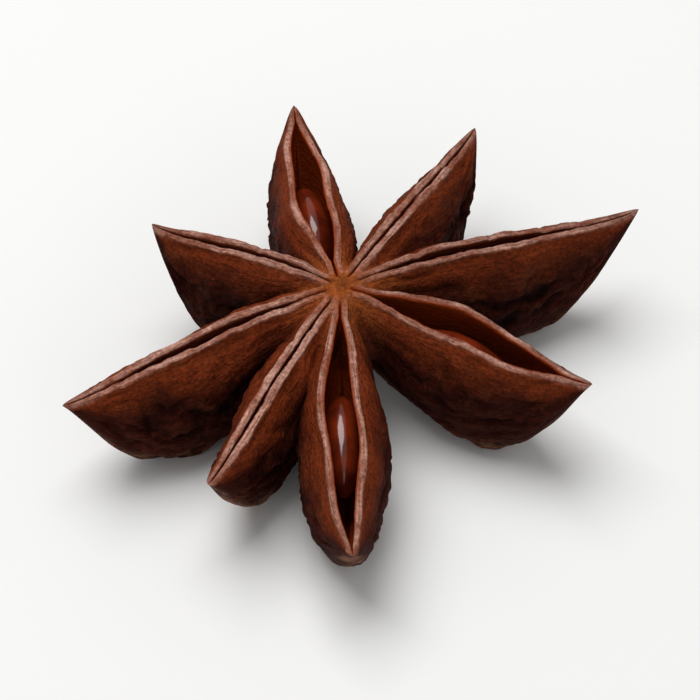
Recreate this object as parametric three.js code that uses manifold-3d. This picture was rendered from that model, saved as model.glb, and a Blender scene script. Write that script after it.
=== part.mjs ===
// A dried star anise pod, lying on its keels with the open face up.
// Eight boat-shaped carpels are fused round a short hub, each split along its upper seam.
// Three of the seams gape wide enough to show a seed.
// Millimetres, +Z up, with the bottom centre of the pod's box at the origin.
import * as THREE from "three";
import { mergeVertices } from "three/addons/utils/BufferGeometryUtils.js";
import Module from "manifold-3d";

const wasm = await Module();
wasm.setup();

// Heights of the whole pod above the surface that it lies on
const hubTop = 8.8; // where the seams meet
const hubBottom = 3.6; // undersides of the carpels at the hub
const seamDroop = 0.12; // fall of a seam from the hub outward, per millimetre
const seamArch = 0.75; // rise of a seam's middle above that line
const footTrim = 0.3; // ground off the lowest keels, which leaves small flat feet

// The eight carpels in turn round the star. Azimuth is in degrees from +X, reach is from the hub to the
// beak, width is across the flanks, gape is the widest opening of the seam, slit is the share of the reach
// where the seam closes again, and keel is the lowest point of the underside. Bend swings the beak
// sideways, lean swings the keel sideways, beak is the upward hook.
const carpels = [
  { azimuth: 106, reach: 14.2, width: 5.0, gape: 1.6, slit: 0.93,
    keel: 0.0, bend: -1.2, lean: 0.3, beak: 1.4 },
  { azimuth: 57, reach: 15.0, width: 4.4, gape: 0.04, slit: 0.9,
    keel: 0.5, bend: 0.5, lean: -0.4, beak: 0.8 },
  { azimuth: 25, reach: 18.0, width: 4.7, gape: 0.5, slit: 0.78,
    keel: 0.0, bend: -1.5, lean: 0.2, beak: 1.5 },
  { azimuth: -22, reach: 15.4, width: 5.2, gape: 1.6, slit: 0.87,
    keel: 0.35, bend: -1.1, lean: -0.3, beak: 1.3 },
  { azimuth: -92, reach: 18.0, width: 5.2, gape: 1.5, slit: 0.96,
    keel: 0.0, bend: 1.3, lean: 0.3, beak: 0.7 },
  { azimuth: -119, reach: 15.4, width: 4.1, gape: 0.06, slit: 0.9,
    keel: 0.8, bend: 0.3, lean: -0.3, beak: 1.0 },
  { azimuth: -156, reach: 17.2, width: 4.8, gape: 0.45, slit: 0.8,
    keel: 0.05, bend: 0.9, lean: 0.4, beak: 0.9 },
  { azimuth: 153, reach: 11.8, width: 4.5, gape: 0.03, slit: 0.9,
    keel: 0.4, bend: 0.5, lean: -0.2, beak: 1.0 },
];
const seedGape = 1.2; // a seam that gapes wider than this shows a seed

// Form of one carpel, as shares of its reach
const keelStation = 0.56; // where the keel is lowest
const widestStation = 0.52;
const slitStart = 0.13;
const neckShare = 0.4; // width at the hub, as a share of the full width
const rim = 0.45; // thickness of a lip
const wall = 0.7; // thickness of a gaping carpel's flank
const closedSlit = 0.05; // half the width of a seam that stays shut
const grooveDepth = 1.0; // of a shut seam
const grooveGain = 1.5; // deeper by this share of the gape, where no seed lies below
const cavityShare = 0.75; // depth of a seeded cavity, as a share of the carpel's own

// Powers that round off a carpel's outlines: the first says how late a line turns, the second how bluntly
const keelClimb = [2.6, 1.3];
const widthTaper = [3.6, 0.82];
const beakHook = 7;
const gapeSwell = 0.9;
const cavitySwell = 0.4;

// Handles of a flank's curve, in half widths across and in depths below the seam
const bulge = 1.42;
const keelRound = 1.05;
const shoulderAtHub = 0.14; // broad shoulders where the carpels fuse
const shoulderOut = 0.3;

// Unevenness of a grown pod
const flankWave = { size: 0.07, turns: 8 }; // size as a share of the width, turns in radians to the beak
const lipWave = { size: 0.16, turns: 14 }; // size as a share of the gape
const phaseStep = 2.4; // turns the waves on from one carpel to the next

// Seed: a flattened egg that stands on edge in its cavity
const seed = { length: 6.3, height: 4.0, thickness: 2.45, below: 1.1, station: 0.5, egg: 0.14 };

// Hub, the web that spreads from it between the carpels, and the stub of the stalk under it
const hubRadius = 1.7;
const hubDip = 0.5; // hub's own top, below the seams
const knobRadius = 0.8; // blunt point in the middle of the hub
const knobRise = 0.3; // above the seams
const webRadius = 3.4;
const webFall = 2.9; // web's edge, below the seams
const stalkRadius = 1.0;
const stalkEnd = 2.2; // height of the broken end

// Facets
const stations = 18;
const flankSteps = 6;
const liningSteps = 4;
const seedSides = 14;
const seedRings = 9;
const hubSides = 16;

const podBrown = new THREE.MeshStandardMaterial({ color: 0x54281a, roughness: 0.72, metalness: 0 });
const seedBrown = new THREE.MeshStandardMaterial({ color: 0x6b2410, roughness: 0.25, metalness: 0 });

const { lerp, clamp, degToRad } = THREE.MathUtils;

function showsSeed(carpel) {
  return carpel.gape > seedGape;
}

// A smooth climb from 0 to 1.
function ease(t) {
  return Math.sin((clamp(t, 0, 1) * Math.PI) / 2) ** 2;
}

// 0 at both ends of the slit and 1 in its middle. A lower power keeps it full for longer.
function slitSwell(carpel, station, power) {
  const t = clamp((station - slitStart) / (carpel.slit - slitStart), 0, 1);
  return Math.sin(Math.PI * t) ** power;
}

// Falls from 1 at the hub to 0 at the beak.
function taper(share, [late, blunt]) {
  return (1 - share ** late) ** blunt;
}

function seamHeight(carpel, station) {
  const line = hubTop - seamDroop * station * carpel.reach;
  return line + seamArch * Math.sin(Math.PI * station) + carpel.beak * station ** beakHook;
}

// The keel falls from the hub to its lowest point, then climbs ever more steeply to the beak.
function keelHeight(carpel, station) {
  const lowest = carpel.keel;
  if (station < keelStation) return lerp(hubBottom, lowest, ease(station / keelStation));
  const t = (station - keelStation) / (1 - keelStation);
  return lerp(seamHeight(carpel, 1), lowest, taper(t, keelClimb));
}

function halfWidth(carpel, station) {
  const opening = neckShare + (1 - neckShare) * ease(station / widestStation);
  return (carpel.width / 2) * opening * taper(station, widthTaper);
}

// A point on the cubic curve through four handles, each given as across and below the seam.
function onCurve(handles, t) {
  const u = 1 - t;
  const weights = [u * u * u, 3 * u * u * t, 3 * u * t * t, t * t * t];
  const point = { across: 0, below: 0 };
  handles.forEach(([across, below], i) => {
    point.across += weights[i] * across;
    point.below += weights[i] * below;
  });
  return point;
}

// A share that sways about 1 along the carpel.
function wave({ size, turns }, station, phase) {
  return 1 + size * Math.sin(turns * station + phase);
}

// One side of a cross-section: up the flank from the keel to the lip, then down the lining to its floor.
function halfSection(carpel, station, side, phase) {
  const depth = seamHeight(carpel, station) - keelHeight(carpel, station);
  const half = halfWidth(carpel, station) * wave(flankWave, station, phase + side);
  const swell = slitSwell(carpel, station, gapeSwell) * wave(lipWave, station, 1.7 * phase + 2 * side);
  const gap = Math.min(closedSlit + (carpel.gape / 2) * swell, 0.5 * half);
  const lip = Math.min(rim, 0.35 * half);
  const hollow = showsSeed(carpel) ? slitSwell(carpel, station, cavitySwell) : 0;
  const groove = Math.min(grooveDepth + grooveGain * carpel.gape, 0.3 * depth);
  const floor = lerp(groove, cavityShare * depth, hollow);
  const shoulder = lerp(shoulderAtHub, shoulderOut, ease(station / widestStation)) * depth;
  const flank = [
    [gap + lip, 0.05 * lip],
    [bulge * half, shoulder],
    [keelRound * half, depth],
    [0, depth],
  ];
  const lining = [
    [gap, 0],
    [lerp(gap, bulge * half - 1.35 * wall, hollow), lerp(0.3 * floor, shoulder, hollow)],
    [lerp(0.5 * gap, keelRound * half - wall, hollow), floor],
    [0, floor],
  ];
  const points = [];
  for (let i = 0; i <= flankSteps; i++) points.push(onCurve(flank, 1 - i / flankSteps));
  for (let i = 0; i <= liningSteps; i++) points.push(onCurve(lining, i / liningSteps));
  return points.map((p) => ({ across: side * p.across, below: p.below, depth }));
}

// A closed ring of points round the carpel at one station, in the carpel's own frame: +X runs to the beak.
function ring(carpel, station, phase) {
  const right = halfSection(carpel, station, -1, phase);
  const left = halfSection(carpel, station, 1, phase);
  const middle = carpel.bend * station * station;
  const seam = seamHeight(carpel, station);
  return [...right, ...left.slice(1, -1).reverse()].map(({ across, below, depth }) => {
    const swing = carpel.lean * ease(station / widestStation) * (below / Math.max(depth, rim));
    return new THREE.Vector3(station * carpel.reach, middle + swing * (1 - station) + across, seam - below);
  });
}

// A solid skinned over rings, closed at each end on a point.
function loft(rings, startPoint, endPoint) {
  const count = rings[0].length;
  const corners = [...rings.flat(), startPoint, endPoint];
  const start = corners.length - 2;
  const end = corners.length - 1;
  const last = (rings.length - 1) * count;
  const faces = [];
  for (let j = 0; j < count; j++) {
    const k = (j + 1) % count;
    faces.push(start, j, k, end, last + k, last + j);
    for (let i = 0; i < last; i += count) {
      faces.push(i + j, i + count + k, i + k);
      faces.push(i + j, i + count + j, i + count + k);
    }
  }
  return new THREE.BufferGeometry().setFromPoints(corners).setIndex(faces);
}

function carpelGeometry(carpel, index) {
  const phase = phaseStep * index;
  const rings = [];
  for (let i = 0; i < stations; i++) {
    const even = i / stations;
    rings.push(ring(carpel, even + 0.06 * Math.sin(Math.PI * even), phase)); // closer together at the beak
  }
  const root = new THREE.Vector3(-0.4 * hubRadius, 0, (hubTop + hubBottom) / 2);
  const beak = new THREE.Vector3(carpel.reach, carpel.bend, seamHeight(carpel, 1));
  return loft(rings, root, beak).rotateZ(degToRad(carpel.azimuth));
}

function hubGeometry() {
  const profile = new THREE.Path();
  profile.moveTo(0, stalkEnd);
  profile.lineTo(stalkRadius, stalkEnd + 0.25);
  profile.quadraticCurveTo(0.8 * stalkRadius, hubBottom, hubRadius, hubBottom + 0.7);
  profile.lineTo(webRadius, hubTop - webFall - 0.4);
  profile.lineTo(webRadius, hubTop - webFall);
  profile.quadraticCurveTo(hubRadius, hubTop - hubDip, knobRadius, hubTop - hubDip);
  profile.quadraticCurveTo(0.6 * knobRadius, hubTop + knobRise, 0, hubTop + knobRise);
  return new THREE.LatheGeometry(profile.getPoints(4), hubSides).rotateX(Math.PI / 2);
}

function seedGeometry(carpel) {
  const { length, height, thickness, below, station, egg } = seed;
  const geometry = new THREE.SphereGeometry(0.5, seedSides, seedRings).rotateZ(Math.PI / 2);
  const corner = new THREE.Vector3();
  const position = geometry.getAttribute("position");
  for (let i = 0; i < position.count; i++) {
    corner.fromBufferAttribute(position, i);
    const full = 1 - egg * 2 * corner.x; // narrower towards the beak
    position.setXYZ(i, corner.x * length, corner.y * thickness * full, corner.z * height * full);
  }
  const rise = seamHeight(carpel, station + 0.1) - seamHeight(carpel, station - 0.1);
  const sideways = carpel.bend * station ** 2 + 0.45 * carpel.lean * (1 - station);
  const level = seamHeight(carpel, station) - below - height / 2;
  return geometry
    .rotateY(-Math.atan2(rise, 0.2 * carpel.reach))
    .rotateZ(Math.atan2(2 * carpel.bend * station, carpel.reach))
    .translate(station * carpel.reach, sideways, level)
    .rotateZ(degToRad(carpel.azimuth));
}

function toSolid(geometry) {
  geometry.deleteAttribute("normal");
  geometry.deleteAttribute("uv");
  const merged = mergeVertices(geometry, 1e-4);
  const vertProperties = merged.getAttribute("position").array;
  const triVerts = new Uint32Array(merged.index.array);
  return new wasm.Manifold(new wasm.Mesh({ numProp: 3, vertProperties, triVerts }));
}

function toGeometry(solid) {
  const { vertProperties, triVerts } = solid.getMesh();
  const geometry = new THREE.BufferGeometry();
  geometry.setAttribute("position", new THREE.BufferAttribute(vertProperties, 3));
  geometry.setIndex(new THREE.BufferAttribute(triVerts, 1));
  geometry.computeVertexNormals();
  return geometry;
}

// The ground that the lowest keels are trimmed to, as a slab under the height of the feet.
function groundGeometry() {
  const side = 60;
  const thickness = 4;
  return new THREE.BoxGeometry(side, side, thickness).translate(0, 0, footTrim - thickness / 2);
}

function makeMesh(name, geometry, material) {
  const mesh = new THREE.Mesh(geometry, material);
  mesh.name = name;
  return mesh;
}

let podSolid = toSolid(hubGeometry());
carpels.forEach((carpel, index) => {
  podSolid = podSolid.add(toSolid(carpelGeometry(carpel, index)));
});
podSolid = podSolid.subtract(toSolid(groundGeometry()));

const starAnise = new THREE.Group();
starAnise.add(makeMesh("pod", toGeometry(podSolid), podBrown));
carpels.forEach((carpel, index) => {
  if (showsSeed(carpel)) starAnise.add(makeMesh(`seed_${index + 1}`, seedGeometry(carpel), seedBrown));
});

// The feet go to height 0, and the middle of the pod's outline to the origin.
const outline = new THREE.Box3().setFromObject(starAnise);
const middle = outline.getCenter(new THREE.Vector3());
starAnise.children.forEach((mesh) => mesh.position.set(-middle.x, -middle.y, -outline.min.z));

export default starAnise;
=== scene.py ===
import math
import bmesh
import bpy
import numpy as np
from mathutils import Matrix, Vector, noise


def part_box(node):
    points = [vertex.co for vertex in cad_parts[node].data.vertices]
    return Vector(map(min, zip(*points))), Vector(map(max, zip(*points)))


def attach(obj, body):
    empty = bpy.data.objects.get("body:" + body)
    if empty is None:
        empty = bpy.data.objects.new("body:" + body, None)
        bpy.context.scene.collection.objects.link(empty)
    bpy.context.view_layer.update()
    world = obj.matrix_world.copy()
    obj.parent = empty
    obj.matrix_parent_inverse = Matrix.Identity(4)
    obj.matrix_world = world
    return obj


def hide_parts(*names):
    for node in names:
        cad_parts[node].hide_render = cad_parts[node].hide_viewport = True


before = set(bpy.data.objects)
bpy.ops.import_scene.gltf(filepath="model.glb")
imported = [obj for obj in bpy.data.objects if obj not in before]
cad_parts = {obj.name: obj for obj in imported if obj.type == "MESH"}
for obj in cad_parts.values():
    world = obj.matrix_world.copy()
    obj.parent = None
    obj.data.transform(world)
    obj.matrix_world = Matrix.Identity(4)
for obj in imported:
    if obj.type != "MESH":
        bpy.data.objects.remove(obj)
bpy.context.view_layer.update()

mm = 0.001  # the pod is worked out in millimetres and placed in metres


def hexToLinear(hexColour):
    channels = [int(hexColour[i:i + 2], 16) / 255 for i in (1, 3, 5)]
    return [c / 12.92 if c <= 0.04045 else ((c + 0.055) / 1.055) ** 2.4 for c in channels] + [1.0]


def addNode(tree, kind, sockets=None, **settings):
    node = tree.nodes.new(kind)
    for name, value in settings.items():
        setattr(node, name, value)
    for name, value in (sockets or {}).items():
        if isinstance(value, bpy.types.NodeSocket):
            tree.links.new(value, node.inputs[name])
        else:
            node.inputs[name].default_value = value
    return node


# Form of the pod, the same sizes as the solids, in millimetres and shares of a carpel's reach
podForm = dict(
    hubTop=8.8, hubBottom=3.6, seamDroop=0.12, seamArch=0.75, footTrim=0.3,
    keelStation=0.56, widestStation=0.52, slitStart=0.13, neckShare=0.4,
    rim=0.45, wall=0.7, closedSlit=0.05, grooveDepth=1.0, grooveGain=1.5, cavityShare=0.75,
    gapLimit=0.5, lipLimit=0.35, grooveLimit=0.3, lipSink=0.34, lipRound=0.55, hollowWall=1.35,
    keelClimb=(2.6, 1.3), widthTaper=(3.6, 0.82), beakHook=7, gapeSwell=0.9, cavitySwell=0.4,
    bulge=1.42, keelRound=1.05, shoulderAtHub=0.14, shoulderOut=0.3,
    flankWave=(0.07, 8), lipWave=(0.16, 14), phaseStep=2.4, seedGape=1.2,
    hubRadius=1.7, hubDip=0.5, hubFlare=0.7, knobRadius=0.8, knobRise=0.3, knobRound=0.6,
    webRadius=3.4, webFall=2.9, webThick=0.4, stalkRadius=1.0, stalkEnd=2.2, stalkDish=0.25, stalkWaist=0.8,
)
carpelKeys = ("azimuth", "reach", "width", "gape", "slit", "keel", "bend", "lean", "beak")
carpelRows = [
    (106, 14.2, 5.0, 1.6, 0.93, 0.0, -1.2, 0.3, 1.4),
    (57, 15.0, 4.4, 0.04, 0.9, 0.5, 0.5, -0.4, 0.8),
    (25, 18.0, 4.7, 0.5, 0.78, 0.0, -1.5, 0.2, 1.5),
    (-22, 15.4, 5.2, 1.6, 0.87, 0.35, -1.1, -0.3, 1.3),
    (-92, 18.0, 5.2, 1.5, 0.96, 0.0, 1.3, 0.3, 0.7),
    (-119, 15.4, 4.1, 0.06, 0.9, 0.8, 0.3, -0.3, 1.0),
    (-156, 17.2, 4.8, 0.45, 0.8, 0.05, 0.9, 0.4, 0.9),
    (153, 11.8, 4.5, 0.03, 0.9, 0.4, 0.5, -0.2, 1.0),
]
carpels = [dict(zip(carpelKeys, row)) for row in carpelRows]

# How fine the skin is and how far it has shrivelled, in millimetres
podSkin = dict(
    stations=90, stationEase=0.06, flankSteps=46, lipSteps=8, openLining=16, shutLining=6,
    skinWidth=10.0,  # nominal width of a flank, over which the wrinkles are laid out
    swell=0.22, swellLength=3.4,
    wrinkle=0.26, wrinkleGap=1.4, wrinkleLength=4.6, wrinkleSharp=2.2, wrinkleRound=0.012,
    wander=1.1, wanderLength=3.2,
    crease=0.14, creaseGap=1.0, creaseLength=2.4, creaseWidth=0.12,
    crinkle=0.07, crinkleSize=0.6,
    keelLump=0.24, keelLumpLength=3.4, keelLumpGap=1.0, keelCalm=0.35,
    prowAt=0.62, prowLength=0.2, prowCalm=0.3,  # shares of the reach, where the keel climbs to the beak
    lipRipple=0.11, lipRippleSize=1.1, lipStep=0.12, lipReach=0.6,
    lipNick=0.17, lipNickLength=1.1, nickFrom=0.28, nickSpan=0.4, lipSettle=0.03,
    seamFurrow=0.06, seamFurrowAt=0.6, seamFurrowWidth=0.2,
    shrivel=1.3,  # wrinkles of a carpel that stayed shut, against those of an open one
    beakFade=1.4, beakDepth=4.8, beakShare=0.2,  # half width, depth and share where the wrinkles die away
    creaseRings=3, creaseRounds=6, jointFade=0.75,
    joinGap=0.07, joinRounds=10,  # shortest edge left along a join, and how often short ones are taken out
    carpelShift=23.0,  # sets the patterns of one carpel apart from the next
)
patternShift = dict(wander=5.0, swell=11.0, crinkle=17.0, keel=29.0, ripple=41.0, crease=53.0, nick=67.0)


def lerp(a, b, t):
    return a + (b - a) * t


def ease(t):
    return np.sin(np.clip(t, 0, 1) * math.pi / 2) ** 2


def taper(share, powers):
    return np.maximum(1 - share ** powers[0], 0) ** powers[1]


def slitSwell(carpel, s, power):
    start = podForm["slitStart"]
    t = np.clip((s - start) / (carpel["slit"] - start), 0, 1)
    return np.maximum(np.sin(math.pi * t), 0) ** power


def wave(sizeAndTurns, s, phase):
    return 1 + sizeAndTurns[0] * np.sin(sizeAndTurns[1] * s + phase)


def seamHeight(carpel, s):
    line = podForm["hubTop"] - podForm["seamDroop"] * s * carpel["reach"]
    return line + podForm["seamArch"] * np.sin(math.pi * s) + carpel["beak"] * s ** podForm["beakHook"]


def keelHeight(carpel, s):
    turn = podForm["keelStation"]
    inner = lerp(podForm["hubBottom"], carpel["keel"], ease(s / turn))
    climb = taper(np.clip((s - turn) / (1 - turn), 0, 1), podForm["keelClimb"])
    outer = lerp(seamHeight(carpel, 1.0), carpel["keel"], climb)
    return np.where(s < turn, inner, outer)


def halfWidth(carpel, s):
    opening = lerp(podForm["neckShare"], 1, ease(s / podForm["widestStation"]))
    return carpel["width"] / 2 * opening * taper(s, podForm["widthTaper"])


def curve(handles, t):
    weights = [(1 - t) ** 3, 3 * (1 - t) ** 2 * t, 3 * (1 - t) * t ** 2, t ** 3]
    across = sum(w * h[0] for w, h in zip(weights, handles))
    below = sum(w * h[1] for w, h in zip(weights, handles))
    return across, below


# One side of every cross-section, from the keel up the flank, over the rounded lip and down the lining
def halfSections(carpel, s, side, phase):
    f = podForm
    isOpen = carpel["gape"] > f["seedGape"]
    depth = seamHeight(carpel, s) - keelHeight(carpel, s)
    half = halfWidth(carpel, s) * wave(f["flankWave"], s, phase + side)
    swell = slitSwell(carpel, s, f["gapeSwell"]) * wave(f["lipWave"], s, 1.7 * phase + 2 * side)
    gap = np.minimum(f["closedSlit"] + carpel["gape"] / 2 * swell, f["gapLimit"] * half)
    lip = np.minimum(f["rim"], f["lipLimit"] * half)
    hollow = slitSwell(carpel, s, f["cavitySwell"]) if isOpen else np.zeros_like(s)
    groove = np.minimum(f["grooveDepth"] + f["grooveGain"] * carpel["gape"], f["grooveLimit"] * depth)
    floor = lerp(groove, f["cavityShare"] * depth, hollow)
    shoulder = lerp(f["shoulderAtHub"], f["shoulderOut"], ease(s / f["widestStation"])) * depth
    lipDrop = f["lipSink"] * lip  # the two edges of the lip lie a little lower than its top
    flankT = np.linspace(1, 0, podSkin["flankSteps"] + 1)[None, :]
    lipT = np.linspace(0, 1, podSkin["lipSteps"] + 1)[None, 1:-1]
    liningT = np.linspace(0, 1, podSkin["openLining" if isOpen else "shutLining"] + 1)[None, :]
    flank = curve([(gap + lip, lipDrop), (f["bulge"] * half, shoulder), (f["keelRound"] * half, depth),
                   (0, depth)], flankT)
    crest = (gap + lip * (0.5 + 0.5 * np.cos(math.pi * lipT)),
             lipDrop * (1 - np.sin(math.pi * lipT) ** f["lipRound"]))
    wallAt = lerp(gap, f["bulge"] * half - f["hollowWall"] * f["wall"], hollow)
    floorAt = lerp(0.5 * gap, f["keelRound"] * half - f["wall"], hollow)
    lining = curve([(gap, lipDrop), (wallAt, lerp(0.3 * floor, shoulder, hollow)), (floorAt, floor),
                    (0, floor)], liningT)
    across, below = [np.concatenate([a, b, c], axis=1) for a, b, c in zip(flank, crest, lining)]
    stretch = np.hypot(np.diff(across, axis=1), np.diff(below, axis=1))
    arc = np.concatenate([np.zeros_like(s), np.cumsum(stretch, axis=1)], axis=1)
    lipAt = flank[0].shape[1] - 1 + podSkin["lipSteps"] // 2
    return dict(across=side * across, below=below, arc=arc, lipArc=arc[:, lipAt:lipAt + 1],
                depth=depth, half=half, inside=np.arange(across.shape[1]) > lipAt)


def joinSides(right, left):
    return np.concatenate([right, left[:, 1:-1][:, ::-1]], axis=1)


def noiseAt(points, size, octaves=1, shift=0.0):
    scaled = (points / np.array(size) + shift).reshape(-1, 3)
    values = [noise.fractal(Vector(p), 0.9, 2.0, octaves) for p in scaled]  # each octave is half the size
    return np.array(values).reshape(points.shape[:-1])


# Grows one carpel as a closed skin with its wrinkles in the mesh, and marks its points for the finish
def growCarpel(index, carpel):
    k, shift = podSkin, patternShift
    phase = podForm["phaseStep"] * index
    isOpen = float(carpel["gape"] > podForm["seedGape"])
    even = np.arange(k["stations"]) / k["stations"]
    s = (even + k["stationEase"] * np.sin(math.pi * even))[:, None]
    right, left = [halfSections(carpel, s, side, phase) for side in (-1, 1)]
    across, below, arc, lipArc = [joinSides(*[side[key] + 0 * side["arc"] for side in (right, left)])
                                  for key in ("across", "below", "arc", "lipArc")]
    sideSign = np.concatenate([-np.ones(right["arc"].shape[1]), np.ones(left["arc"].shape[1] - 2)])[None, :]
    inside = joinSides(right["inside"][None, :], left["inside"][None, :]) & np.ones_like(arc, dtype=bool)
    depthShare = np.clip(below / np.maximum(right["depth"], 0.2), 0, 1)
    lipGap = np.abs(arc - lipArc)

    swing = carpel["lean"] * ease(s / podForm["widestStation"])
    swing = swing * below / np.maximum(right["depth"], podForm["rim"])
    x = s * carpel["reach"] + 0 * across
    y = carpel["bend"] * s * s + swing * (1 - s) + across
    z = seamHeight(carpel, s) - below
    points = np.stack([x, y, z], axis=-1)

    # skin coordinates: along the carpel, and round it from the keel to the lips
    shareUp = np.minimum(arc / lipArc, 1)
    roundSkin = sideSign * (k["skinWidth"] * shareUp + np.where(inside, lipGap, 0))
    grain = np.stack([x, roundSkin, 0 * x + k["carpelShift"] * index], axis=-1)

    down = ease((depthShare - 0.05) / 0.5)
    warp = k["wander"] * noiseAt(grain, (k["wanderLength"], k["wanderLength"], 1.0), 2, shift["wander"])
    bent = grain + np.stack([0 * warp, warp, 0 * warp], axis=-1)
    folds = noiseAt(bent, (k["wrinkleLength"], k["wrinkleGap"], 1.0), 2)
    ridged = 1 - k["wrinkleSharp"] * np.sqrt(folds ** 2 + k["wrinkleRound"])  # ridges with a rounded crest
    swell = k["swell"] * noiseAt(grain, (k["swellLength"], k["swellLength"], 1.0), 2, shift["swell"])
    creases = noiseAt(bent, (k["creaseLength"], k["creaseGap"], 1.0), 2, shift["crease"])
    creases = np.exp(-(creases / k["creaseWidth"]) ** 2)
    fine = np.abs(noiseAt(bent, (k["crinkleSize"] * 1.4, k["crinkleSize"], 1.0), 2, shift["crinkle"]))
    # all three are weaker beside the seam, where the skin stays tight
    relief = k["wrinkle"] * (ridged - 0.4) * lerp(0.3, 1.0, down)
    relief = relief - k["crease"] * creases * lerp(0.25, 1.0, down)
    relief = relief + k["crinkle"] * (2.4 * fine - 0.6) * lerp(0.4, 1, down)
    lumps = noiseAt(bent, (k["keelLumpLength"], k["keelLumpGap"], 1.0), 2, shift["keel"])
    onKeel = ease((depthShare - 0.5) / 0.4)
    relief = lerp(relief, k["keelCalm"] * relief + k["keelLump"] * lumps, onKeel)
    relief = relief * lerp(1, k["prowCalm"], onKeel * ease((s - k["prowAt"]) / k["prowLength"]))
    relief = relief - k["seamFurrow"] * np.exp(-((lipGap - k["seamFurrowAt"]) / k["seamFurrowWidth"]) ** 2)
    relief = relief * lerp(k["shrivel"], 1.0, isOpen)
    ripple = k["lipRipple"] * noiseAt(grain, (k["lipRippleSize"], 4.0, 1.0), 3, shift["ripple"])
    lipNear = np.exp(-(lipGap / k["lipReach"]) ** 2)
    onSkin = ease(lipGap / 0.5) * ~inside
    fade = np.clip(right["half"] / k["beakFade"], 0, 1) ** 1.3 * ease(right["depth"] / k["beakDepth"])
    fade = fade * ease((1 - s) / k["beakShare"])
    raised = lerp(0.3 * ripple * lipNear, swell + relief, onSkin) * fade

    alongStep = np.gradient(points, axis=0)
    roundStep = np.roll(points, -1, axis=1) - np.roll(points, 1, axis=1)
    normal = np.cross(alongStep, roundStep)
    normal /= np.maximum(np.linalg.norm(normal, axis=-1, keepdims=True), 1e-9)
    points = points + normal * raised[..., None]
    step = sideSign * k["lipStep"] * math.sin(2.3 * index + 1) * slitSwell(carpel, s, 0.6)
    nickSpace = np.stack([x, 4.0 * sideSign + 0 * x, grain[..., 2]], axis=-1)
    nicks = noiseAt(nickSpace, (k["lipNickLength"], 1.0, 1.0), 2, shift["nick"])
    nicks = np.clip(nicks - k["nickFrom"], 0, k["nickSpan"]) / k["nickSpan"]
    points[..., 2] += (ripple + step - k["lipNick"] * nicks) * lipNear * fade - k["lipSettle"]

    count = points.shape[1]
    rings = points.shape[0]
    root = [-0.4 * podForm["hubRadius"], 0, (podForm["hubTop"] + podForm["hubBottom"]) / 2]
    tip = [carpel["reach"], carpel["bend"], float(seamHeight(carpel, 1.0))]
    corners = np.vstack([points.reshape(-1, 3), root, tip])
    j = np.arange(count)
    n = (j + 1) % count
    starts = (np.arange(rings - 1) * count)[:, None]
    quads = np.stack([starts + j, starts + count + j, starts + count + n, starts + n], axis=-1)
    rootAt, tipAt, last = len(corners) - 2, len(corners) - 1, (rings - 1) * count
    faces = quads.reshape(-1, 4).tolist()
    faces += [[rootAt, a, b] for a, b in zip(j, n)] + [[tipAt, last + b, last + a] for a, b in zip(j, n)]
    turn = Matrix.Rotation(math.radians(carpel["azimuth"]), 3, "Z")
    corners = corners @ np.array(turn).T

    def padded(values, atRoot, atTip):
        return np.append(np.asarray(values, dtype=float).reshape(-1), [atRoot, atTip])

    marks = dict(
        lipGap=padded(lipGap, 3.0, 0.0), depthShare=padded(depthShare, 0.5, 0.0),
        along=padded(s + 0 * x, 0, 1), furrow=padded(relief * onSkin * fade, 0, 0),
        lining=padded(isOpen * inside * ease(lipGap / 0.25), 0, 0),
        # inside a shut slit below the lips, where painted shade darkens the colour
        shutSeamShade=padded((1 - isOpen) * inside * ease((lipGap - 0.08) / 0.4), 0, 0),
        tone=np.full(len(corners), math.sin(5.1 * index + 1.3)), grown=np.ones(len(corners)),
    )
    ownShift = k["carpelShift"] * index
    marks["grain"] = np.vstack([grain.reshape(-1, 3), [0, 0, ownShift], [carpel["reach"], 0, ownShift]])
    return makeMesh(f"carpel_{index + 1}", corners, faces, marks)


def makeMesh(name, corners, faces, marks):
    mesh = bpy.data.meshes.new(name)
    mesh.from_pydata((corners * mm).tolist(), [], faces)
    for markName, values in marks.items():
        isVector = values.ndim == 2
        mark = mesh.attributes.new(markName, "FLOAT_VECTOR" if isVector else "FLOAT", "POINT")
        mark.data.foreach_set("vector" if isVector else "value", values.astype(np.float32).ravel())
    obj = bpy.data.objects.new(name, mesh)
    bpy.context.scene.collection.objects.link(obj)
    return obj


# Hub, web and stalk stub as one turned skin, roughened by noise, in millimetres
hubSkin = dict(sides=72, innerRough=0.2, outerRough=0.3, roughSize=(0.6, 0.6, 0.9), roughShift=3.0,
               lift=0.8, grainShift=300.0)


def arcPoints(handles, shares):
    a, b, c = [np.array(h) for h in handles]
    return [tuple((1 - t) ** 2 * a + 2 * t * (1 - t) * b + t * t * c) for t in shares]


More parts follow.
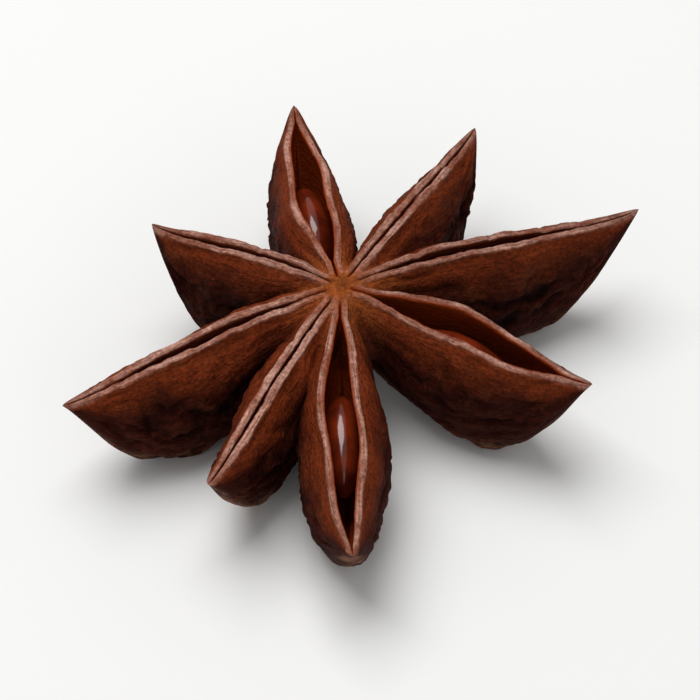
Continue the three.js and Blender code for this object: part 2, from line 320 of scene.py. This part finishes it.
def growHub():
    f, k = podForm, hubSkin
    top, bottom = f["hubTop"], f["hubBottom"]
    flare, webEdge = bottom + f["hubFlare"], top - f["webFall"]
    dip, knobTop = top - f["hubDip"], top + f["knobRise"]
    stalk, end, dish = f["stalkRadius"], f["stalkEnd"], f["stalkDish"]
    stalkSide = [(stalk, end + dish), (f["stalkWaist"] * stalk, bottom), (f["hubRadius"], flare)]
    webTop = [(f["webRadius"], webEdge), (f["hubRadius"], dip), (f["knobRadius"], dip)]
    knob = [(f["knobRadius"], dip), (f["knobRound"] * f["knobRadius"], knobTop), (0, knobTop)]
    profile = [(0, end)] + [(stalk * t, end + dish * t * t) for t in np.linspace(0.2, 1, 6)]
    profile += arcPoints(stalkSide, np.linspace(0, 1, 10)[1:])
    profile += [(lerp(f["hubRadius"], f["webRadius"], t), lerp(flare, webEdge - f["webThick"], t))
                for t in np.linspace(0.2, 1, 5)]
    profile += arcPoints(webTop, np.linspace(0, 1, 18)) + arcPoints(knob, np.linspace(0, 1, 12)[1:])

    sides = k["sides"]
    turns = np.arange(sides) / sides * 2 * math.pi
    body = np.array(profile[1:-1])
    out = body[:, :1]
    points = np.stack([out * np.cos(turns), out * np.sin(turns), body[:, 1:] + 0 * turns], axis=-1)
    rough = noiseAt(points, k["roughSize"], 3, k["roughShift"])
    rough = lerp(k["innerRough"], k["outerRough"], ease(out / f["webRadius"])) * rough
    points = points * (1 + rough[..., None] * np.array([1, 1, 0.0]) / np.maximum(out, 0.5)[..., None])
    points[..., 2] += k["lift"] * rough * (out < f["webRadius"])
    corners = np.vstack([points.reshape(-1, 3), [0, 0, profile[0][1]], [0, 0, profile[-1][1]]])
    j = np.arange(sides)
    n = (j + 1) % sides
    starts = (np.arange(len(body) - 1) * sides)[:, None]
    quads = np.stack([starts + j, starts + n, starts + sides + n, starts + sides + j], axis=-1)
    low, high, last = len(corners) - 2, len(corners) - 1, (len(body) - 1) * sides
    faces = quads.reshape(-1, 4).tolist()
    faces += [[low, b, a] for a, b in zip(j, n)] + [[high, last + a, last + b] for a, b in zip(j, n)]
    under = np.append(np.repeat(body[:, 1] < bottom + 1, sides), [True, False])
    ones = np.ones(len(corners))
    marks = dict(lipGap=3 * ones, depthShare=np.where(under, 0.85, 0.25), lining=0 * ones, shutSeamShade=0 * ones,
                 along=np.hypot(corners[:, 0], corners[:, 1]) / 8, tone=0 * ones, grown=ones,
                 furrow=np.append(rough.ravel(), [0, 0]), grain=corners + [0, 0, k["grainShift"]])
    return makeMesh("hub", corners, faces, marks)


# Sum of a value over the points that share an edge with each point
def spread(values, edges, count):
    a, b = edges.T
    return np.bincount(a, values[b], count) + np.bincount(b, values[a], count)


# Cleans the fused skin: slivers and fins along the joins go, and so do the pockets closed up inside it
def cleanSkin(mesh):
    skin = bmesh.new()
    skin.from_mesh(mesh)
    grown = skin.verts.layers.float["grown"]

    def atJoin(part):
        return any(v[grown] < 0.5 for v in part.verts)

    def neighbours(v):
        return {e.other_vert(v) for e in v.link_edges}

    bmesh.ops.triangulate(skin, faces=[f for f in skin.faces if len(f.verts) > 3 and atJoin(f)])
    for _ in range(podSkin["joinRounds"]):
        taken, chosen = set(), []
        short = [e for e in skin.edges if atJoin(e) and e.calc_length() < podSkin["joinGap"] * mm]
        for edge in sorted(short, key=lambda e: e.calc_length()):
            a, b = [neighbours(v) for v in edge.verts]
            corners = sum(len(f.verts) == 3 for f in edge.link_faces)
            if len(a & b) == corners and taken.isdisjoint(a | b):  # one that can close up without a fold
                chosen.append(edge)
                taken |= a | b
        for edge in chosen:
            for v in edge.verts:
                v[grown] = 0.0
        bmesh.ops.collapse(skin, edges=chosen)
        twins = {}
        for face in filter(atJoin, skin.faces):
            twins.setdefault(frozenset(face.verts), []).append(face)
        fins = [f for pair in twins.values() if len(pair) > 1 for f in pair[:2]]
        bmesh.ops.delete(skin, geom=fins, context="FACES")
        flaps = [f for f in skin.faces if sum(e.is_boundary for e in f.edges) > 1]
        bmesh.ops.delete(skin, geom=flaps, context="FACES")
        bmesh.ops.holes_fill(skin, edges=[e for e in skin.edges if e.is_boundary], sides=0)
    islands, left = [], set(skin.verts)
    while left:
        island, rim = set(), {left.pop()}
        while rim:
            island |= rim
            rim = {n for v in rim for n in neighbours(v)} - island
        left -= island
        islands.append(island)
    islands.sort(key=len)
    bmesh.ops.delete(skin, geom=[v for island in islands[:-1] for v in island], context="VERTS")
    skin.to_mesh(mesh)
    skin.free()
    print("skin cleaned, pockets taken out", len(islands) - 1)


# Fuses the carpels and the hub into one skin, then mends the marks and softens the skin where they meet
def fusePod(pieces):
    base, others = pieces[0], bpy.data.collections.new("carpelsToFuse")
    for piece in pieces[1:]:
        bpy.context.scene.collection.objects.unlink(piece)
        others.objects.link(piece)
    join = base.modifiers.new("fuse", "BOOLEAN")
    join.operation = "UNION"
    join.operand_type = "COLLECTION"
    join.collection = others
    join.solver = "MANIFOLD"
    fused = bpy.data.meshes.new_from_object(base.evaluated_get(bpy.context.evaluated_depsgraph_get()))
    for piece in pieces:
        bpy.data.objects.remove(piece)
    bpy.data.collections.remove(others)
    cleanSkin(fused)

    count = len(fused.vertices)
    edges = np.empty(len(fused.edges) * 2, dtype=np.int32)
    fused.edges.foreach_get("vertices", edges)
    edges = edges.reshape(-1, 2)
    corners = np.empty(count * 3, dtype=np.float32)
    fused.vertices.foreach_get("co", corners)
    corners = corners.reshape(-1, 3).astype(float)
    grown = np.empty(count, dtype=np.float32)
    fused.attributes["grown"].data.foreach_get("value", grown)
    isNew = grown < 0.5

    near = isNew.astype(float)
    joint = isNew.astype(float)
    for _ in range(podSkin["creaseRings"]):
        near = np.maximum(near, spread(near, edges, count) > 0)
        wider = joint.copy()
        np.maximum.at(wider, edges[:, 0], podSkin["jointFade"] * joint[edges[:, 1]])
        np.maximum.at(wider, edges[:, 1], podSkin["jointFade"] * joint[edges[:, 0]])
        joint = wider
    near = near > 0
    degree = np.maximum(spread(np.ones(count), edges, count), 1)

    known = (~isNew).astype(float)
    for mark in fused.attributes:
        if mark.domain != "POINT" or mark.name in ("position", "grown") or mark.name.startswith("."):
            continue
        wide = 3 if mark.data_type == "FLOAT_VECTOR" else 1
        key = "vector" if wide == 3 else "value"
        values = np.empty(count * wide, dtype=np.float32)
        mark.data.foreach_get(key, values)
        values = values.reshape(-1, wide).astype(float)
        weight = np.maximum(spread(known, edges, count), 1e-6)
        for c in range(wide):
            mean = spread(values[:, c] * known, edges, count) / weight
            values[isNew, c] = mean[isNew]
            if wide == 1:
                for _ in range(podSkin["creaseRounds"]):
                    mean = spread(values[:, c], edges, count) / degree
                    values[near, c] += 0.5 * (mean - values[:, c])[near]
        mark.data.foreach_set(key, values.astype(np.float32).ravel())
    fused.attributes.new("joint", "FLOAT", "POINT").data.foreach_set("value", joint.astype(np.float32))

    for _ in range(podSkin["creaseRounds"]):
        for c in range(3):
            mean = spread(corners[:, c], edges, count) / degree
            corners[near, c] += 0.5 * (mean - corners[:, c])[near]
    return fused, corners, isNew.sum()


def buildPod():
    pieces = [growCarpel(i, carpel) for i, carpel in enumerate(carpels)] + [growHub()]
    print("carpels grown, points", sum(len(p.data.vertices) for p in pieces))
    fused, corners, seamPoints = fusePod(pieces)
    low, high = [np.array(v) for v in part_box("pod")]
    tips = [Matrix.Rotation(math.radians(c["azimuth"]), 3, "Z") @ Vector((c["reach"], c["bend"], 0))
            for c in carpels]
    tips = np.array(tips)[:, :2] * mm
    hubAt = (low + high)[:2] / 2 - (tips.min(axis=0) + tips.max(axis=0)) / 2
    place = np.append(hubAt, -podForm["footTrim"] * mm)
    corners = corners + place
    corners = np.clip(corners, low, high)  # the lowest keels are worn flat
    fused.vertices.foreach_set("co", corners.astype(np.float32).ravel())
    fused.polygons.foreach_set("use_smooth", np.ones(len(fused.polygons), dtype=bool))
    fused.materials.clear()
    fused.update()
    fused.name = "starAnisePod"
    pod = bpy.data.objects.new("star_anise_pod", fused)
    bpy.context.scene.collection.objects.link(pod)
    triangles = sum(len(p.vertices) - 2 for p in fused.polygons)
    print("pod fused, triangles", triangles, "points on the joins", seamPoints)
    return pod, place


# Seed: a flattened egg on edge, with a pale scar at the hub end
seedForm = dict(length=6.3, height=4.0, thickness=2.45, below=1.1, station=0.5, egg=0.14,
                rings=72, sides=96, dimple=0.035, dimpleSize=1.6, dimpleShare=0.35, ease=0.012,
                leanShare=0.45)


def buildSeed(index, place):
    f, carpel = seedForm, carpels[index]
    polar = (np.arange(f["rings"]) + 0.5) / f["rings"] * math.pi
    turns = np.arange(f["sides"]) / f["sides"] * 2 * math.pi
    x = -0.5 * np.cos(polar)[:, None] + 0 * turns
    girth = 0.5 * np.sin(polar)[:, None] * (1 - 2 * f["egg"] * x)
    points = np.stack([x * f["length"], girth * np.cos(turns) * f["thickness"],
                       girth * np.sin(turns) * f["height"]], axis=-1)
    dimples = f["dimple"] * noiseAt(points, (f["dimpleSize"],) * 3, 3, 7.0 * index)
    points = points * (1 - np.maximum(dimples, -f["dimple"])[..., None] * f["dimpleShare"] - f["ease"])
    ends = [[-0.5 * f["length"], 0, 0], [0.5 * f["length"], 0, 0]]
    corners = np.vstack([points.reshape(-1, 3), ends])
    j = np.arange(f["sides"])
    n = (j + 1) % f["sides"]
    starts = (np.arange(f["rings"] - 1) * f["sides"])[:, None]
    quads = np.stack([starts + j, starts + f["sides"] + j, starts + f["sides"] + n, starts + n], axis=-1)
    a, b, last = len(corners) - 2, len(corners) - 1, (f["rings"] - 1) * f["sides"]
    faces = quads.reshape(-1, 4)[:, ::-1].tolist()
    faces += [[a, p, q] for p, q in zip(n, j)] + [[b, last + p, last + q] for p, q in zip(j, n)]
    s = f["station"]
    rise = float(seamHeight(carpel, s + 0.1) - seamHeight(carpel, s - 0.1))
    sideways = carpel["bend"] * s ** 2 + f["leanShare"] * carpel["lean"] * (1 - s)
    level = float(seamHeight(carpel, s)) - f["below"] - f["height"] / 2
    stand = (Matrix.Rotation(math.radians(carpel["azimuth"]), 4, "Z")
             @ Matrix.Translation((s * carpel["reach"], sideways, level))
             @ Matrix.Rotation(math.atan2(2 * carpel["bend"] * s, carpel["reach"]), 4, "Z")
             @ Matrix.Rotation(-math.atan2(rise, 0.2 * carpel["reach"]), 4, "Y"))
    grain = corners.copy()
    corners = corners @ np.array(stand.to_3x3()).T + np.array(stand.translation) + place / mm
    seed = makeMesh(f"seed_in_carpel_{index + 1}", corners, faces, dict(grain=grain))
    seed.data.polygons.foreach_set("use_smooth", np.ones(len(seed.data.polygons), dtype=bool))
    return seed


# Sun-dried woody husk: matt and shrivelled outside, orange-brown and worn beside the seams, where the thin
# pale edge of the wall shows; smooth, harder and more glossy on the lining
huskLook = dict(
    # furrow is near-black painted shade for the wrinkle troughs and the fine creases; seamShade is painted
    # shade inside the shut slits
    shoulder="#722f14", flank="#36120b", keel="#301610", cork="#775340", lip="#bd9080", lipWorn="#7a3f2a",
    liningWall="#8a3611", hub="#984f24", furrow="#100302", ridge="#552517", seamShade="#57200f",
    scuff="#7f4226",
    ior=1.46, gloss=0.05, roughSkin=0.72, roughLining=0.32,
    ridgeTint=0.7, scuffTint=0.38, fibreTint=0.35, speckTint=0.45, furrowShadeTint=0.85, wornTint=0.85,
    toneTint=0.12,
    # millimetres; fibres and specks are really about 0.05 wide and are drawn coarser so that they show
    patchSize=2.4, mottleSize=1.3, scuffSize=1.9, creaseGap=0.5, creaseLength=1.4,
    fibreWidth=0.15, fibreLength=1.8, speckSize=0.2, bumpHeight=0.13,
)


def newMaterial(name):
    material = bpy.data.materials.new(name)
    material.use_nodes = True
    material.node_tree.nodes.clear()
    return material, material.node_tree


def huskMaterial():
    look = huskLook
    colours = {key: hexToLinear(value) for key, value in look.items() if isinstance(value, str)}
    material, tree = newMaterial("sun-dried woody husk")
    lipGap, depthShare, furrow, lining, shutSeamShade, along, tone, joint = [
        addNode(tree, "ShaderNodeAttribute", attribute_name=name).outputs["Fac"]
        for name in ("lipGap", "depthShare", "furrow", "lining", "shutSeamShade", "along", "tone", "joint")]
    place = addNode(tree, "ShaderNodeTexCoord").outputs["Object"]
    place = addNode(tree, "ShaderNodeVectorMath", {
        0: place, "Scale": 1 / mm}, operation="SCALE").outputs[0]
    grain = addNode(tree, "ShaderNodeAttribute", attribute_name="grain").outputs["Vector"]

    # patterns laid out in millimetres of skin: blotches, fibres that run to the beak, fine creases and specks
    patches = addNode(tree, "ShaderNodeTexNoise", {
        "Vector": place, "Scale": 1 / look["patchSize"], "Detail": 5.0, "Roughness": 0.62}).outputs["Fac"]
    mottles = addNode(tree, "ShaderNodeTexNoise", {
        "Vector": place, "Scale": 1 / look["mottleSize"], "Detail": 4.0, "Roughness": 0.6}).outputs["Fac"]
    fibreSpace = addNode(tree, "ShaderNodeVectorMath", {
        0: grain, 1: (1 / look["fibreLength"], 1 / look["fibreWidth"], 1.0)}, operation="MULTIPLY").outputs[0]
    fibres = addNode(tree, "ShaderNodeTexNoise", {
        "Vector": fibreSpace, "Scale": 1.0, "Detail": 3.0, "Roughness": 0.6}).outputs["Fac"]
    fibres = addNode(tree, "ShaderNodeMix", {
        0: joint, 2: fibres, 3: 0.5}).outputs[0]  # none run across a join
    specks = addNode(tree, "ShaderNodeTexNoise", {
        "Vector": place, "Scale": 1 / look["speckSize"], "Detail": 2.0}).outputs["Fac"]
    specks = addNode(tree, "ShaderNodeMapRange", {
        "Value": specks, "From Min": 0.25, "From Max": 0.75}).outputs["Result"]
    creaseSpace = addNode(tree, "ShaderNodeVectorMath", {
        0: grain, 1: (1 / look["creaseLength"], 1 / look["creaseGap"], 1.0)}, operation="MULTIPLY").outputs[0]
    creaseNoise = addNode(tree, "ShaderNodeTexNoise", {
        "Vector": creaseSpace, "Scale": 1.0, "Detail": 2.0, "Roughness": 0.5,
        "Distortion": 0.7}).outputs["Fac"]
    creaseOff = addNode(tree, "ShaderNodeMath", {
        0: creaseNoise, 1: 0.5}, operation="SUBTRACT").outputs[0]
    creaseOff = addNode(tree, "ShaderNodeMath", {0: creaseOff}, operation="ABSOLUTE").outputs[0]
    nearBeak = addNode(tree, "ShaderNodeMapRange", {
        "Value": along, "From Min": 0.82, "From Max": 0.97, "To Max": 0.1}).outputs["Result"]
    creaseOff = addNode(tree, "ShaderNodeMath", {0: creaseOff, 1: nearBeak}, operation="ADD").outputs[0]
    plateau = addNode(tree, "ShaderNodeMapRange", {
        "Value": creaseOff, "From Max": 0.14}, interpolation_type="SMOOTHSTEP").outputs["Result"]
    plateau = addNode(tree, "ShaderNodeMix", {0: joint, 2: plateau, 3: 1.0}).outputs[0]

    # orange-brown beside the seam, darkening down the flank to red-brown, partly the skin's own colour and
    # partly painted shade; grey-brown and rough on the keel
    down = addNode(tree, "ShaderNodeMath", {
        0: patches, 1: 0.5, 2: depthShare}, operation="MULTIPLY_ADD").outputs[0]
    flankToneAndShade = addNode(tree, "ShaderNodeMapRange", {
        "Value": down, "From Min": 0.26, "From Max": 0.62},
        interpolation_type="SMOOTHSTEP").outputs["Result"]
    colour = addNode(tree, "ShaderNodeMix", {
        0: flankToneAndShade, 6: colours["shoulder"], 7: colours["flank"]}, data_type="RGBA").outputs[2]
    keelShare = addNode(tree, "ShaderNodeMapRange", {
        "Value": down, "From Min": 1.0, "From Max": 1.2},
        interpolation_type="SMOOTHSTEP").outputs["Result"]
    corky = addNode(tree, "ShaderNodeMapRange", {
        "Value": mottles, "From Min": 0.42, "From Max": 0.6}).outputs["Result"]
    keelColour = addNode(tree, "ShaderNodeMix", {
        0: corky, 6: colours["keel"], 7: colours["cork"]}, data_type="RGBA").outputs[2]
    colour = addNode(tree, "ShaderNodeMix", {
        0: keelShare, 6: colour, 7: keelColour}, data_type="RGBA").outputs[2]
    ridgeShare = addNode(tree, "ShaderNodeMapRange", {
        "Value": furrow, "From Min": -0.02, "From Max": 0.2, "To Max": look["ridgeTint"]}).outputs["Result"]
    colour = addNode(tree, "ShaderNodeMix", {
        0: ridgeShare, 6: colour, 7: colours["ridge"]}, data_type="RGBA").outputs[2]
    scuffs = addNode(tree, "ShaderNodeTexNoise", {
        "Vector": place, "Scale": 1 / look["scuffSize"], "Detail": 6.0, "Roughness": 0.7,
        "Distortion": 0.4}).outputs["Fac"]
    scuffShare = addNode(tree, "ShaderNodeMapRange", {
        "Value": scuffs, "From Min": 0.55, "From Max": 0.72, "To Max": look["scuffTint"]}).outputs["Result"]
    colour = addNode(tree, "ShaderNodeMix", {
        0: scuffShare, 6: colour, 7: colours["scuff"]}, data_type="RGBA").outputs[2]
    hubShare = addNode(tree, "ShaderNodeMapRange", {
        "Value": along, "From Min": 0.26, "From Max": 0.03},
        interpolation_type="SMOOTHSTEP").outputs["Result"]
    upper = addNode(tree, "ShaderNodeMapRange", {
        "Value": depthShare, "From Min": 0.6, "From Max": 0.2}).outputs["Result"]
    hubShare = addNode(tree, "ShaderNodeMath", {0: hubShare, 1: upper}, operation="MULTIPLY").outputs[0]
    colour = addNode(tree, "ShaderNodeMix", {
        0: hubShare, 6: colour, 7: colours["hub"]}, data_type="RGBA").outputs[2]
    colour = addNode(tree, "ShaderNodeMix", {0: look["fibreTint"], 6: colour, 7: fibres},
                     data_type="RGBA", blend_type="OVERLAY").outputs[2]
    # painted shade: the hollows of the wrinkles in the mesh are darkened towards near-black
    furrowShadeShare = addNode(tree, "ShaderNodeMapRange", {
        "Value": furrow, "From Min": -0.08, "From Max": -0.3, "To Max": look["furrowShadeTint"]}).outputs["Result"]
    colour = addNode(tree, "ShaderNodeMix", {
        0: furrowShadeShare, 6: colour, 7: colours["furrow"]}, data_type="RGBA").outputs[2]
    # painted shade along the fine creases, stronger down the flank
    creaseShadeStrength = addNode(tree, "ShaderNodeMapRange", {
        "Value": flankToneAndShade, "To Min": 0.12, "To Max": 0.34}).outputs["Result"]
    creaseShadeShare = addNode(tree, "ShaderNodeMapRange", {
        "Value": plateau, "To Min": creaseShadeStrength, "To Max": 0.0}).outputs["Result"]
    colour = addNode(tree, "ShaderNodeMix", {
        0: creaseShadeShare, 6: colour, 7: colours["furrow"]}, data_type="RGBA").outputs[2]

    # the pale edge of the wall on the lips, and the smooth lining below it
    frayed = addNode(tree, "ShaderNodeMath", {
        0: mottles, 1: 0.5, 2: lipGap}, operation="MULTIPLY_ADD").outputs[0]
    outward = addNode(tree, "ShaderNodeMapRange", {
        "Value": along, "From Min": 0.02, "From Max": 0.2}).outputs["Result"]
    bandShare = addNode(tree, "ShaderNodeMapRange", {
        "Value": frayed, "From Min": 0.72, "From Max": 0.48, "To Max": look["wornTint"]},
        interpolation_type="SMOOTHSTEP").outputs["Result"]
    bandShare = addNode(tree, "ShaderNodeMath", {
        0: bandShare, 1: outward}, operation="MULTIPLY").outputs[0]
    colour = addNode(tree, "ShaderNodeMix", {
        0: bandShare, 6: colour, 7: colours["lipWorn"]}, data_type="RGBA").outputs[2]
    worn = addNode(tree, "ShaderNodeMapRange", {
        "Value": fibres, "From Min": 0.34, "From Max": 0.6, "To Min": 0.25},
        interpolation_type="SMOOTHSTEP").outputs["Result"]
    edgeShare = addNode(tree, "ShaderNodeMapRange", {
        "Value": frayed, "From Min": 0.56, "From Max": 0.36},
        interpolation_type="SMOOTHSTEP").outputs["Result"]
    edgeShare = addNode(tree, "ShaderNodeMath", {
        0: edgeShare, 1: worn}, operation="MULTIPLY").outputs[0]
    rubbed = addNode(tree, "ShaderNodeMapRange", {
        "Value": patches, "From Min": 0.38, "From Max": 0.58, "To Min": 0.22}).outputs["Result"]
    edgeShare = addNode(tree, "ShaderNodeMath", {
        0: edgeShare, 1: rubbed}, operation="MULTIPLY").outputs[0]
    edgeShare = addNode(tree, "ShaderNodeMath", {
        0: edgeShare, 1: outward}, operation="MULTIPLY").outputs[0]
    colour = addNode(tree, "ShaderNodeMix", {
        0: edgeShare, 6: colour, 7: colours["lip"]}, data_type="RGBA").outputs[2]
    colour = addNode(tree, "ShaderNodeMix", {0: look["speckTint"], 6: colour, 7: specks},
                     data_type="RGBA", blend_type="OVERLAY").outputs[2]
    colour = addNode(tree, "ShaderNodeMix", {
        0: lining, 6: colour, 7: colours["liningWall"]}, data_type="RGBA").outputs[2]
    # painted shade inside the shut slits, below the pale lips
    colour = addNode(tree, "ShaderNodeMix", {
        0: shutSeamShade, 6: colour, 7: colours["seamShade"]}, data_type="RGBA").outputs[2]
    brightness = addNode(tree, "ShaderNodeMath", {
        0: tone, 1: look["toneTint"], 2: 1.0}, operation="MULTIPLY_ADD").outputs[0]
    colour = addNode(tree, "ShaderNodeHueSaturation", {
        "Value": brightness, "Color": colour}).outputs["Color"]

    dull = addNode(tree, "ShaderNodeMapRange", {
        "Value": specks, "From Min": 0.2, "From Max": 0.8, "To Min": look["roughSkin"] - 0.1,
        "To Max": look["roughSkin"] + 0.2}).outputs["Result"]
    roughness = addNode(tree, "ShaderNodeMix", {0: lining, 2: dull, 3: look["roughLining"]}).outputs[0]
    height = addNode(tree, "ShaderNodeMix", {0: 0.4, 2: fibres, 3: specks}).outputs[0]
    height = addNode(tree, "ShaderNodeMix", {0: 0.28, 2: height, 3: plateau}).outputs[0]
    bump = addNode(tree, "ShaderNodeBump", {
        "Strength": 1.0, "Distance": look["bumpHeight"] * mm, "Height": height}).outputs["Normal"]
    shader = addNode(tree, "ShaderNodeBsdfPrincipled", {
        "Base Color": colour, "Roughness": roughness, "Normal": bump, "IOR": look["ior"],
        "Specular IOR Level": look["gloss"]}).outputs["BSDF"]
    addNode(tree, "ShaderNodeOutputMaterial", {"Surface": shader})
    return material


# Polished seed coat: a hard, naturally waxed shell that mirrors the lights, red-brown with darker clouds
seedLook = dict(coat="#7c2a10", cloud="#4a150a", scar="#b08a62", ior=1.5, roughness=0.16,
                waxCoat=0.6, waxRoughness=0.06,
                cloudSize=1.4, pitSize=0.22, pitHeight=0.012)  # millimetres


def seedMaterial():
    look = seedLook
    material, tree = newMaterial("polished seed coat")
    grain = addNode(tree, "ShaderNodeAttribute", attribute_name="grain").outputs["Vector"]
    clouds = addNode(tree, "ShaderNodeTexNoise", {
        "Vector": grain, "Scale": 1 / look["cloudSize"], "Detail": 4.0}).outputs["Fac"]
    cloudShare = addNode(tree, "ShaderNodeMapRange", {
        "Value": clouds, "From Min": 0.4, "From Max": 0.7}).outputs["Result"]
    colour = addNode(tree, "ShaderNodeMix", {
        0: cloudShare, 6: hexToLinear(look["coat"]), 7: hexToLinear(look["cloud"])},
        data_type="RGBA").outputs[2]
    alongSeed = addNode(tree, "ShaderNodeSeparateXYZ", {"Vector": grain}).outputs["X"]
    scarEnd = -seedForm["length"] / 2
    scarShare = addNode(tree, "ShaderNodeMapRange", {
        "Value": alongSeed, "From Min": scarEnd + 0.3, "From Max": scarEnd + 0.1},
        interpolation_type="SMOOTHSTEP").outputs["Result"]
    colour = addNode(tree, "ShaderNodeMix", {
        0: scarShare, 6: colour, 7: hexToLinear(look["scar"])}, data_type="RGBA").outputs[2]
    pits = addNode(tree, "ShaderNodeTexNoise", {
        "Vector": grain, "Scale": 1 / look["pitSize"], "Detail": 2.0}).outputs["Fac"]
    bump = addNode(tree, "ShaderNodeBump", {
        "Strength": 0.3, "Distance": look["pitHeight"] * mm, "Height": pits}).outputs["Normal"]
    shader = addNode(tree, "ShaderNodeBsdfPrincipled", {
        "Base Color": colour, "Roughness": look["roughness"], "IOR": look["ior"], "Normal": bump,
        "Coat Weight": look["waxCoat"], "Coat Roughness": look["waxRoughness"]}).outputs["BSDF"]
    addNode(tree, "ShaderNodeOutputMaterial", {"Surface": shader})
    return material


# Matt white board under the pod: it keeps the ground plain and throws soft light back up
boardLook = dict(colour="#fafaf8", roughness=0.85, size=1.6)


def buildFloor():
    half = boardLook["size"] / 2
    mesh = bpy.data.meshes.new("board")
    corners = [(-half, -half, 0), (half, -half, 0), (half, half, 0), (-half, half, 0)]
    mesh.from_pydata(corners, [], [(0, 1, 2, 3)])
    floor = bpy.data.objects.new("board", mesh)
    bpy.context.scene.collection.objects.link(floor)
    material, tree = newMaterial("matt white board")
    shader = addNode(tree, "ShaderNodeBsdfPrincipled", {
        "Base Color": hexToLinear(boardLook["colour"]), "Roughness": boardLook["roughness"]}).outputs["BSDF"]
    addNode(tree, "ShaderNodeOutputMaterial", {"Surface": shader})
    mesh.materials.append(material)
    return floor


# Soft studio light: a wide softbox overhead, a little behind the pod, and a weak one in front
studio = dict(
    softboxes=[
        dict(name="overheadSoftbox", at=(-0.07, 0.07, 0.33), size=0.26, watts=0.88),
        dict(name="frontSoftbox", at=(0.16, -0.36, 0.20), size=0.30, watts=0.14),
    ],
    skyColour="#ffffff", skyStrength=0.36,
    azimuth=0.0, elevation=50.0, lens=240.0, sensor=36.0, frameWidth=0.0395,
    target=(-0.0003, 0.0006, 0.0045),
)


def buildStudio():
    scene = bpy.context.scene
    scene.view_settings.view_transform = "Standard"
    target = Vector(studio["target"])
    for box in studio["softboxes"]:
        data = bpy.data.lights.new(box["name"], "AREA")
        data.shape = "SQUARE"
        data.size = box["size"]
        data.energy = box["watts"]
        light = bpy.data.objects.new(box["name"], data)
        light.location = box["at"]
        light.rotation_euler = (target - light.location).to_track_quat("-Z", "Y").to_euler()
        scene.collection.objects.link(light)
    world = bpy.data.worlds.new("studioSky")
    world.use_nodes = True
    sky = world.node_tree.nodes["Background"]
    sky.inputs["Color"].default_value = hexToLinear(studio["skyColour"])
    sky.inputs["Strength"].default_value = studio["skyStrength"]
    scene.world = world

    camera = bpy.data.cameras.new("photoCamera")
    camera.lens = studio["lens"]
    camera.sensor_width = studio["sensor"]
    camera.clip_start = 0.01
    distance = studio["frameWidth"] * studio["lens"] / studio["sensor"]
    turn, lift = math.radians(studio["azimuth"]), math.radians(studio["elevation"])
    back = Vector((math.sin(turn) * math.cos(lift), -math.cos(turn) * math.cos(lift), math.sin(lift)))
    cameraObject = bpy.data.objects.new("photoCamera", camera)
    cameraObject.location = target + back * distance
    cameraObject.rotation_euler = (-back).to_track_quat("-Z", "Y").to_euler()
    scene.collection.objects.link(cameraObject)
    scene.camera = cameraObject


buildStudio()
buildFloor()
print("studio set")

pod, podPlace = buildPod()
pod.data.materials.append(huskMaterial())
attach(pod, "root")
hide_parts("pod")

seedCoat = seedMaterial()
for index, carpel in enumerate(carpels):
    if carpel["gape"] > podForm["seedGape"]:
        seed = buildSeed(index, podPlace)
        seed.data.materials.append(seedCoat)
        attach(seed, "root")
        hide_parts(f"seed_{index + 1}")
        print("seed laid in carpel", index + 1)
